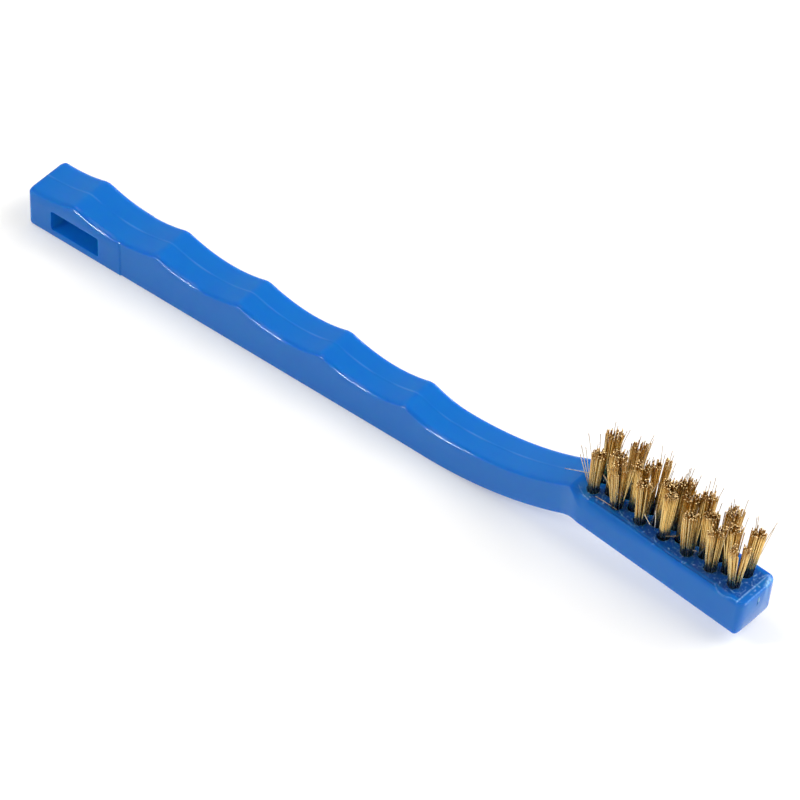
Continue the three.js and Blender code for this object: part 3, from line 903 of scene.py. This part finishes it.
def drill_hole(bm, place):
    """Opens one round hole in the face's grid and gives it a wall and a floor."""
    radius = HOLE_DIAMETER / 2

    def from_axis(co):
        offset = co - place
        return offset - face_out * offset.dot(face_out)

    near = [f for f in bm.faces if (f.calc_center_median() - place).length < radius * HOLE_CLEARED]
    bmesh.ops.delete(bm, geom=near, context="FACES")
    rim = [e for e in bm.edges if e.is_boundary and (e.verts[0].co - place).length < HOLE_NEARBY * radius]
    for vert in {v for e in rim for v in e.verts}:
        aside = from_axis(vert.co)
        vert.co += aside.normalized() * (radius - aside.length)
    grown = bmesh.ops.extrude_edge_only(bm, edges=rim)["geom"]
    wall = {g for g in grown if isinstance(g, bmesh.types.BMVert)}
    bmesh.ops.translate(bm, verts=list(wall), vec=-face_out * HOLE_DEPTH)
    floor_edges = [g for g in grown if isinstance(g, bmesh.types.BMEdge) and set(g.verts) <= wall]
    bmesh.ops.edgeloop_fill(bm, edges=floor_edges)


def handle_moulding(material):
    bm = bmesh.new()
    section = handle_section()
    draw_section(bm, section, handle_stations())
    whiten_parting_line(bm, section)
    cut_slot(bm)
    places = [place for row in TUFTS.values() for place in row]
    holes = [((p - face_origin).dot(face_along), p.y) for p in places]
    mark_and_shade_face(bm, holes)
    for place in places:
        drill_hole(bm, place)
    bmesh.ops.recalc_face_normals(bm, faces=bm.faces)
    obj = piece("handle_moulding", bm, material)
    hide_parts("handle")
    return obj


def gate_mark(material):
    """The small scar on the end of the head where the plastic entered the mould."""
    bm = bmesh.new()
    lean = Matrix.Rotation(TIP_LEAN, 4, "Y")
    x = tip_end - math.tan(TIP_LEAN) * GATE_BELOW_TOP
    z = face_top(tip_end) - GATE_BELOW_TOP
    place = Matrix.Translation((x, 0, z)) @ lean @ Matrix.Diagonal(GATE_SIZE).to_4x4()
    bmesh.ops.create_uvsphere(bm, u_segments=GATE_SEGMENTS, v_segments=GATE_RINGS, radius=1)
    wear_and_highlight = bm.verts.layers.float.new("wear_and_highlight")
    for vert in bm.verts:
        # Painted highlight on the upper half of the scar
        vert[wear_and_highlight] = GATE_PAINTED_GLINT * smooth(vert.co.z, *GATE_GLINT_FADE)
        vert.co *= 1 + GATE_RAGGED * noise.noise(vert.co * GATE_LUMPS)
    bmesh.ops.transform(bm, matrix=place, verts=bm.verts)
    return piece("gate_mark", bm, material)


# Tufts
def wire_blank():
    """A straight wire, one unit long and one unit in radius, with rings where it can bend."""
    bm = bmesh.new()
    bmesh.ops.create_cone(bm, cap_ends=True, segments=WIRE_SIDES, radius1=1, radius2=1, depth=1,
                          matrix=Matrix.Translation((0, 0, 0.5)))
    long_edges = [e for e in bm.edges if abs(e.verts[0].co.z - e.verts[1].co.z) > 0.5]
    bmesh.ops.subdivide_edges(bm, edges=long_edges, cuts=WIRE_BENDS)
    mesh = bpy.data.meshes.new("wire_blank")
    bm.to_mesh(mesh)
    bm.free()
    return mesh


def wire_bundle():
    bm = bmesh.new()
    bm.verts.layers.float.new("along_wire")
    bm.verts.layers.float.new("wire_shade")
    return bm


def lay_wire(bm, blank, rng, root, tip, bow, diameter=WIRE_DIAMETER, clean=0.0):
    """One wire, bowed to one side and cut off at a slant; a clean one has no painted shade at its root."""
    along_wire = bm.verts.layers.float["along_wire"]
    wire_shade = bm.verts.layers.float["wire_shade"]
    bm.from_mesh(blank)
    bm.verts.ensure_lookup_table()
    turn = (tip - root).to_track_quat("Z", "X")
    side, up = turn @ Vector((1, 0, 0)), turn @ Vector((0, 1, 0))
    out = (tip - root).normalized()
    radius = diameter / 2
    shade = rng.random()
    cut_side = rng.uniform(-CUT_SLANT, CUT_SLANT)
    cut_up = rng.uniform(-CUT_SLANT, CUT_SLANT)
    for vert in bm.verts[-len(blank.vertices):]:
        x, y, t = vert.co
        slant = (cut_side * x + cut_up * y) * radius if t > CUT_END else 0.0
        centre = root.lerp(tip, t) + bow * (4 * t * (1 - t))
        vert.co = centre + (side * x + up * y) * radius + out * slant
        vert[along_wire] = mix(clean, 1.0, t)
        vert[wire_shade] = shade


def tuft(bm, blank, rng, place, lean, spread, halves, root_diameter):
    """One tuft: its wires rise from the hole in two halves, lean together and spread at the tips."""
    lean_along, lean_across = lean[0] * MM, lean[1] * MM
    count = round(WIRES_PER_TUFT / max(1.0, spread ** THINS_WITH_SPREAD))
    for k in range(count):
        reach = math.sqrt((k + 0.5) / count)
        angle = k * GOLDEN_ANGLE + rng.uniform(-ROOT_JITTER, ROOT_JITTER)
        x, y = reach * math.cos(angle), reach * math.sin(angle)
        root = place + (face_along * x + face_across * y) * root_diameter / 2 - face_out * ROOT_DEPTH
        split = TIP_SPLIT * halves if x + y > 0 else -TIP_SPLIT * halves
        scatter = TIP_SCATTER * spread ** SCATTERS_WITH_SPREAD
        if rng.random() < WAYWARD_SHARE:
            scatter *= WAYWARD_SCATTER
        aside = split * SPLIT_DIAGONAL
        along = x * TIP_DIAMETER / 2 * spread + lean_along + aside + rng.gauss(0, scatter)
        across = y * TIP_DIAMETER / 2 * spread + lean_across + aside + rng.gauss(0, scatter)
        out = TUFT_LENGTH - TRIM_SPREAD * rng.random() - TRIM_CROWN * reach
        tip = place + face_along * along + face_across * across + face_out * out
        bow = face_along * rng.gauss(0, WIRE_BOW) + face_across * rng.gauss(0, WIRE_BOW)
        lay_wire(bm, blank, rng, root, tip, bow)


def tuft_row(row, rng, blank, material):
    bm = wire_bundle()
    for number, place in enumerate(TUFTS[row]):
        narrow = NARROW_ROOT if number in NARROW_ROOTS.get(row, ()) else 1.0
        tuft(bm, blank, rng, place, LEANS[row][number], SPREADS[row][number], SPLITS[row][number],
             ROOT_DIAMETER * narrow)
    obj = piece(f"{row}_wire_tufts", bm, material)
    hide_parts(f"{row}_tuft_row")
    return obj


def stray_wires(rng, blank, material):
    """Loose wires round the tufts, and fine hairs that stand above them."""
    bm = wire_bundle()
    for root, tip, rise in STRAY_WIRES:
        start = on_face(*(value * MM for value in root))
        end = on_face(*(value * MM for value in tip))
        lay_wire(bm, blank, rng, start, end, face_out * rise * MM, LOOSE_DIAMETER, ROOT_SHADE_FADES)
    for row, count in HAIRS:
        for place, lean in zip(TUFTS[row], LEANS[row]):
            for _ in range(count):
                root = place + face_along * rng.uniform(*HAIR_ROOT_ALONG) * MM
                root += face_across * rng.uniform(*HAIR_ROOT_ACROSS) * MM
                along = lean[0] * MM + rng.uniform(*HAIR_TIP_ALONG) * MM
                across = lean[1] * MM + rng.uniform(*HAIR_TIP_ACROSS) * MM
                out = TUFT_LENGTH + rng.uniform(*HAIR_ABOVE_TUFT) * MM
                tip = place + face_along * along + face_across * across + face_out * out
                bow = face_along * rng.gauss(0, HAIR_BOW)
                lay_wire(bm, blank, rng, root, tip, bow, HAIR_DIAMETER, ROOT_SHADE_FADES)
    return piece("stray_wires", bm, material)


# Stage
def floor():
    bm = bmesh.new()
    bmesh.ops.create_grid(bm, x_segments=1, y_segments=1, size=FLOOR_SIZE)
    bmesh.ops.translate(bm, vec=(0, 0, -FLOOR_GAP), verts=bm.verts)
    mesh = bpy.data.meshes.new("floor")
    bm.to_mesh(mesh)
    bm.free()
    obj = bpy.data.objects.new("floor", mesh)
    bpy.context.scene.collection.objects.link(obj)
    material, _, _, bsdf = shader("pale_floor")
    bsdf.inputs["Base Color"].default_value = FLOOR_COLOUR
    bsdf.inputs["Roughness"].default_value = FLOOR_ROUGHNESS
    bsdf.inputs["Specular IOR Level"].default_value = FLOOR_SPECULAR
    bsdf.inputs["Emission Color"].default_value = (1, 1, 1, 1)
    bsdf.inputs["Emission Strength"].default_value = FLOOR_GLOW
    mesh.materials.append(material)


def area_light(name, toward, distance, size, power):
    """A rectangular softbox that faces the brush from a direction."""
    data = bpy.data.lights.new(name, "AREA")
    data.shape = "RECTANGLE"
    data.size, data.size_y = size
    data.energy = power
    obj = bpy.data.objects.new(name, data)
    obj.location = Vector(toward).normalized() * distance
    obj.rotation_euler = (-obj.location).to_track_quat("-Z", "Y").to_euler()
    bpy.context.scene.collection.objects.link(obj)
    return obj


def backdrop():
    """Dim overhead, with a paler band low down."""
    world = bpy.data.worlds.new("studio")
    bpy.context.scene.world = world
    world.use_nodes = True
    nodes, links = world.node_tree.nodes, world.node_tree.links
    place = nodes.new("ShaderNodeTexCoord")
    split = nodes.new("ShaderNodeSeparateXYZ")
    ramp = nodes.new("ShaderNodeValToRGB")
    for position, grey in BACKDROP_BANDS:
        ramp.color_ramp.elements.new(position).color = (grey, grey, grey, 1)
    ramp.color_ramp.elements[0].color = (BACKDROP_HORIZON, BACKDROP_HORIZON, BACKDROP_HORIZON, 1)
    ramp.color_ramp.elements[-1].color = (BACKDROP_OVERHEAD, BACKDROP_OVERHEAD, BACKDROP_OVERHEAD, 1)
    links.new(place.outputs["Generated"], split.inputs["Vector"])
    links.new(split.outputs["Z"], ramp.inputs["Fac"])
    links.new(ramp.outputs["Color"], nodes["Background"].inputs["Color"])
    nodes["Background"].inputs["Strength"].default_value = 1.0


def studio(handle):
    backdrop()
    strip = area_light(*EDGE_STRIP)
    strip.visible_diffuse = False
    strip.data.color = STRIP_COLOUR
    strip.light_linking.receiver_collection = bpy.data.collections.new("lit_by_edge_strip")
    strip.light_linking.receiver_collection.objects.link(handle)
    for softbox in SOFTBOXES:
        area_light(*softbox)
    floor()
    bpy.context.scene.view_settings.view_transform = "Standard"


def camera():
    data = bpy.data.cameras.new("camera")
    data.lens = CAMERA_LENS
    data.sensor_width = CAMERA_SENSOR
    data.clip_end = CAMERA_REACH
    obj = bpy.data.objects.new("camera", data)
    obj.rotation_euler = (math.pi / 2 - CAMERA_HEIGHT, 0, CAMERA_TURN)
    right, up, back = (obj.rotation_euler.to_matrix().col[k] for k in range(3))
    obj.location = CAMERA_AIM + back * CAMERA_DISTANCE - right * CAMERA_ASIDE - up * CAMERA_ABOVE
    bpy.context.scene.collection.objects.link(obj)
    bpy.context.scene.camera = obj


plastic = blue_plastic()
wire_brass = brass("drawn_brass_wire", *WIRE_BRASSES)
loose_brass = brass("loose_brass_wire", *LOOSE_BRASSES)
anchor_metal = anchor_steel()
for name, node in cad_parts.items():
    if "_anchor_" in name:
        node.data.materials.clear()
        node.data.materials.append(anchor_metal)
brush_handle = handle_moulding(plastic)
gate_mark(plastic)
rng = random.Random(WIRE_SEED)
blank = wire_blank()
for row in ("right", "middle", "left"):
    tuft_row(row, rng, blank, wire_brass)
stray_wires(rng, blank, loose_brass)
studio(brush_handle)
camera()
